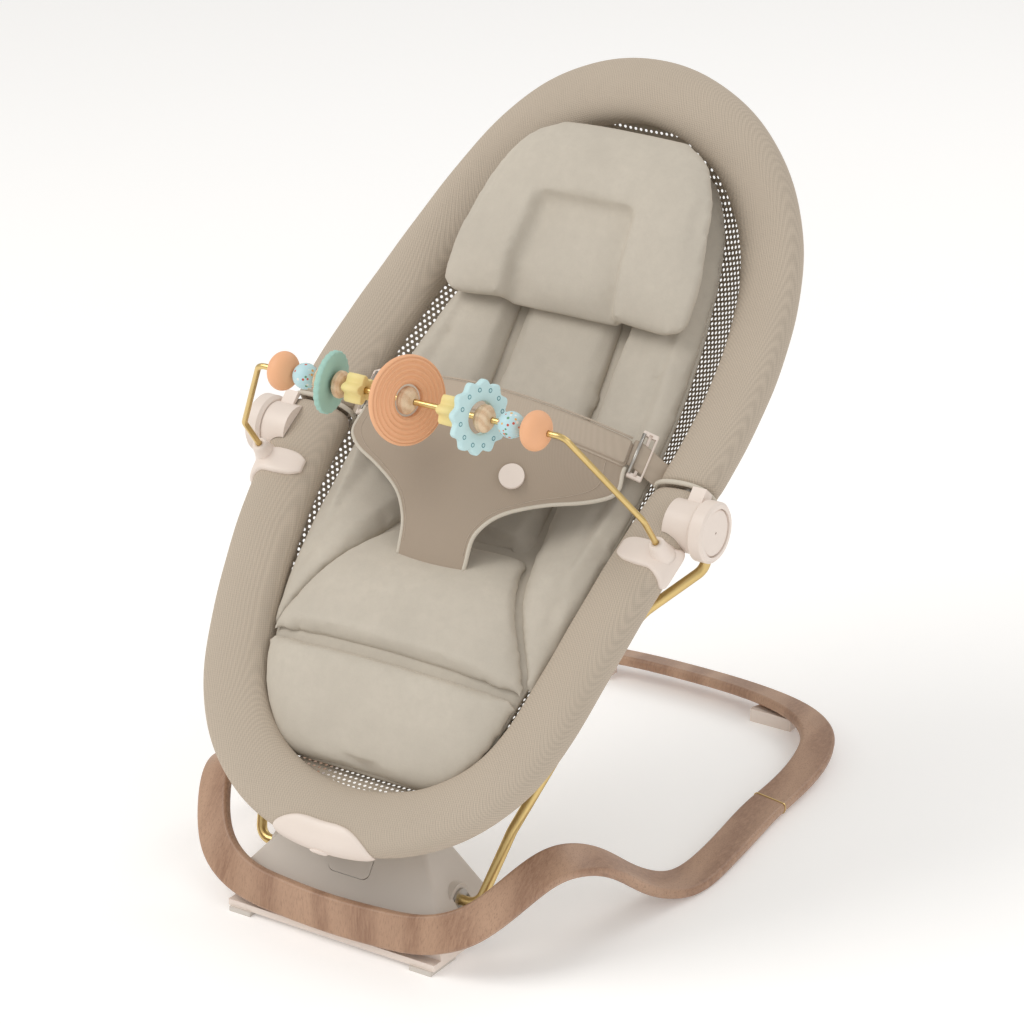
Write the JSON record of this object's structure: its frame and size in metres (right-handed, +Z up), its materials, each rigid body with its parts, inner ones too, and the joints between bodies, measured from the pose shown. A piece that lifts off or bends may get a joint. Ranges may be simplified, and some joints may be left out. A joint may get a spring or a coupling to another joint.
{
  "type": "baby bouncer seat",
  "caption": "Baby bouncer: padded oval seat with mesh sling, inlay, belly panel and toy bar, on two gold sprung wires over a bent-wood floor frame.",
  "frame": {"origin": "on the floor, under the middle of the whole object's box", "axes": "+Z up, -Y towards the baby's feet (front), +Y towards the head, +X to the right seen from the front, the object is symmetrical in X apart from the toys and one snap button"},
  "size_m": [0.43, 0.5797, 0.5942],
  "materials": {
    "walnut": "oiled walnut veneer",
    "gold_metal": "brushed gold",
    "cream_plastic": "satin",
    "grey_plastic": "satin",
    "rubber": "matte",
    "steel": "zinc plated",
    "rim_fabric": "knitted twill",
    "mesh_fabric": "open mesh",
    "inlay_fabric": "soft brushed",
    "panel_fabric": "smooth woven",
    "piping": "piping",
    "terracotta": "silicone",
    "speckled": "speckled silicone",
    "bead_wood": "turned beech",
    "sage": "silicone",
    "sky": "silicone",
    "straw": "silicone"
  },
  "bodies": {
    "base": {"front_rail": "walnut", "rear_rail": "walnut", "joint_ring_right": "gold_metal", "joint_ring_left": "gold_metal", "front_foot_plate": "cream_plastic", "front_foot_right": "rubber", "front_foot_left": "rubber", "corner_pad_right": "rubber", "corner_pad_left": "rubber", "rear_foot_right": "cream_plastic", "rear_foot_left": "cream_plastic", "housing_shell": "grey_plastic", "shaft_bush_right": "grey_plastic", "shaft_bush_left": "grey_plastic"},
    "fold_button": {"fold_button": "grey_plastic"},
    "fold_frame": {"fold_shaft": "steel"},
    "wires": {"wire_right": "gold_metal", "wire_left": "gold_metal", "hub_bracket_right": "cream_plastic", "hub_bracket_left": "cream_plastic"},
    "seat": {"rim_tube_lower": "steel", "rim_tube_upper": "steel", "rim_cover_lower": "rim_fabric", "rim_cover_upper": "rim_fabric", "collar_ring_right": "piping", "collar_ring_left": "piping", "toy_clip_right": "cream_plastic", "toy_clip_left": "cream_plastic", "hub_housing_right": "cream_plastic", "hub_housing_left": "cream_plastic", "badge_plate": "cream_plastic", "mesh_sling": "mesh_fabric", "inlay_leg": "inlay_fabric", "inlay_seat": "inlay_fabric", "inlay_back": "inlay_fabric", "inlay_wing_right": "inlay_fabric", "inlay_wing_left": "inlay_fabric", "head_pillow": "inlay_fabric", "belly_panel": "panel_fabric", "snap_button": "cream_plastic", "strap_buckle_right": "cream_plastic", "strap_buckle_left": "cream_plastic", "side_strap_right": "panel_fabric", "side_strap_left": "panel_fabric"},
    "hub_button_right": {"hub_button_right": "cream_plastic"},
    "hub_button_left": {"hub_button_left": "cream_plastic"},
    "toy_bar": {"toy_bar_wire": "gold_metal"},
    "end_bead_left": {"end_bead_left": "terracotta"},
    "end_bead_right": {"end_bead_right": "terracotta"},
    "speckled_bead_left": {"speckled_bead_left": "speckled"},
    "speckled_bead_right": {"speckled_bead_right": "speckled"},
    "wood_bead_left": {"wood_bead_left": "bead_wood"},
    "wood_bead_inner": {"wood_bead_inner": "bead_wood"},
    "wood_bead_centre": {"wood_bead_centre": "bead_wood"},
    "wood_bead_right": {"wood_bead_right": "bead_wood"},
    "teether_disc": {"teether_disc": "terracotta"},
    "grooved_ring": {"grooved_ring": "sage"},
    "flower_disc": {"flower_disc": "sky"},
    "star_left": {"star_left": "straw"},
    "star_right": {"star_right": "straw"}
  },
  "joints": [
    {"name": "fold_button_press", "type": "slide", "parent": "base", "child": "fold_button", "axis": [0, 0.8333, -0.5529], "range_m": [0, 0.004], "stiffness_N_per_m": 400, "springref_m": -0.002},
    {"name": "frame_fold", "type": "hinge", "parent": "base", "child": "fold_frame", "pos_m": [0, -0.2213, 0.04], "axis": [1, 0, 0], "range_deg": [-32, 0]},
    {"name": "bounce", "type": "hinge", "parent": "fold_frame", "child": "wires", "pos_m": [0, -0.2213, 0.04], "axis": [1, 0, 0], "range_deg": [-4, 4], "stiffness_Nm_per_rad": 260, "springref_deg": 1.72},
    {"name": "recline", "type": "hinge", "parent": "wires", "child": "seat", "pos_m": [0, -0.06133, 0.31859], "axis": [1, 0, 0], "range_deg": [-15, 0]},
    {"name": "hub_press_right", "type": "slide", "parent": "wires", "child": "hub_button_right", "axis": [-1, 0, 0], "range_m": [0, 0.002], "stiffness_N_per_m": 400, "springref_m": -0.001},
    {"name": "hub_press_left", "type": "slide", "parent": "wires", "child": "hub_button_left", "axis": [1, 0, 0], "range_m": [0, 0.002], "stiffness_N_per_m": 400, "springref_m": -0.001},
    {"name": "toy_bar_lift", "type": "slide", "parent": "seat", "child": "toy_bar", "axis": [0, -0.6047, 0.7964], "range_m": [0, 0.06]},
    {"name": "end_bead_left_spin", "type": "hinge", "parent": "toy_bar", "child": "end_bead_left", "pos_m": [0, -0.1603, 0.413], "axis": [1, 0, 0], "continuous": true},
    {"name": "end_bead_right_spin", "type": "hinge", "parent": "toy_bar", "child": "end_bead_right", "pos_m": [0, -0.1603, 0.413], "axis": [1, 0, 0], "continuous": true},
    {"name": "speckled_bead_left_spin", "type": "hinge", "parent": "toy_bar", "child": "speckled_bead_left", "pos_m": [0, -0.1603, 0.413], "axis": [1, 0, 0], "continuous": true},
    {"name": "speckled_bead_right_spin", "type": "hinge", "parent": "toy_bar", "child": "speckled_bead_right", "pos_m": [0, -0.1603, 0.413], "axis": [1, 0, 0], "continuous": true},
    {"name": "wood_bead_left_spin", "type": "hinge", "parent": "toy_bar", "child": "wood_bead_left", "pos_m": [0, -0.1603, 0.413], "axis": [1, 0, 0], "continuous": true},
    {"name": "wood_bead_inner_spin", "type": "hinge", "parent": "toy_bar", "child": "wood_bead_inner", "pos_m": [0, -0.1603, 0.413], "axis": [1, 0, 0], "continuous": true},
    {"name": "wood_bead_centre_spin", "type": "hinge", "parent": "toy_bar", "child": "wood_bead_centre", "pos_m": [0, -0.1603, 0.413], "axis": [1, 0, 0], "continuous": true},
    {"name": "wood_bead_right_spin", "type": "hinge", "parent": "toy_bar", "child": "wood_bead_right", "pos_m": [0, -0.1603, 0.413], "axis": [1, 0, 0], "continuous": true},
    {"name": "teether_disc_spin", "type": "hinge", "parent": "toy_bar", "child": "teether_disc", "pos_m": [0, -0.1603, 0.413], "axis": [1, 0, 0], "continuous": true},
    {"name": "grooved_ring_spin", "type": "hinge", "parent": "toy_bar", "child": "grooved_ring", "pos_m": [0, -0.1603, 0.413], "axis": [1, 0, 0], "continuous": true},
    {"name": "flower_disc_spin", "type": "hinge", "parent": "toy_bar", "child": "flower_disc", "pos_m": [0, -0.1603, 0.413], "axis": [1, 0, 0], "continuous": true},
    {"name": "star_left_spin", "type": "hinge", "parent": "toy_bar", "child": "star_left", "pos_m": [0, -0.1603, 0.413], "axis": [1, 0, 0], "continuous": true},
    {"name": "star_right_spin", "type": "hinge", "parent": "toy_bar", "child": "star_right", "pos_m": [0, -0.1603, 0.413], "axis": [1, 0, 0], "continuous": true}
  ]
}
